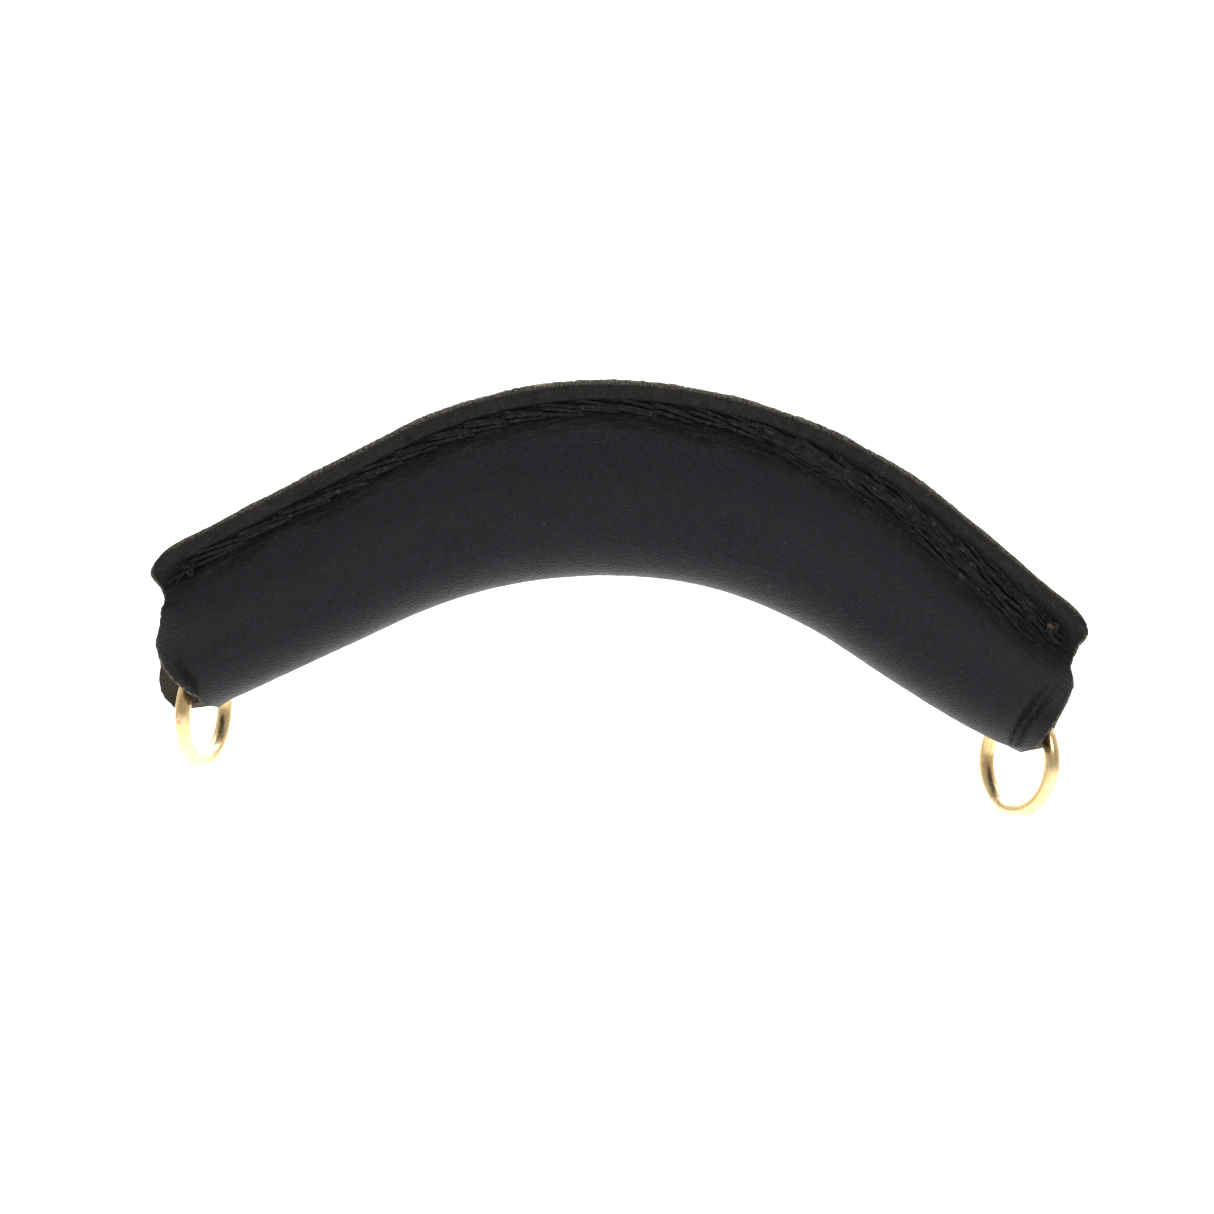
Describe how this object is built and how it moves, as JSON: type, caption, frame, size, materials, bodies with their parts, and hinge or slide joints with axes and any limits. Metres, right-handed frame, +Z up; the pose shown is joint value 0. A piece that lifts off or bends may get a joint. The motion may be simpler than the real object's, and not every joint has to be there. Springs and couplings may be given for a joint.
{
  "type": "padded leather collar",
  "caption": "Crescent-shaped padded leather collar, sewn together along its outer edge, with a round brass ring hanging from each lower corner for a strap.",
  "frame": {"origin": "middle of the underside of the arch, where the pad bears on what it is laid over", "axes": "+X along the width, +Y to the back, +Z up out of the arch"},
  "size_m": [0.1492, 0.0212, 0.0661],
  "materials": {
    "leather": "semi-matt black, lightly grained",
    "stuffing": "felted fibre",
    "brass": "polished, tarnished in spots",
    "thread": "waxed black thread"
  },
  "bodies": {
    "pad": {"leather_cover": "leather", "padding_roll": "stuffing", "seam_stitches_front": "thread", "seam_stitches_back": "thread", "seam_thread_passes": "thread", "thread_knot_left": "thread", "thread_knot_right": "thread"},
    "left_ring": {"ring_left": "brass"},
    "right_ring": {"ring_right": "brass"}
  },
  "joints": [
    {"name": "ring_left_swing", "type": "hinge", "parent": "pad", "child": "left_ring", "pos_m": [-0.066, 0.00588, -0.0179], "axis": [0.309, 0.9511, 0], "range_deg": [-15, 90]},
    {"name": "ring_right_swing", "type": "hinge", "parent": "pad", "child": "right_ring", "pos_m": [0.066, 0.00588, -0.0179], "axis": [0.5592, -0.829, 0], "range_deg": [-15, 90]}
  ]
}
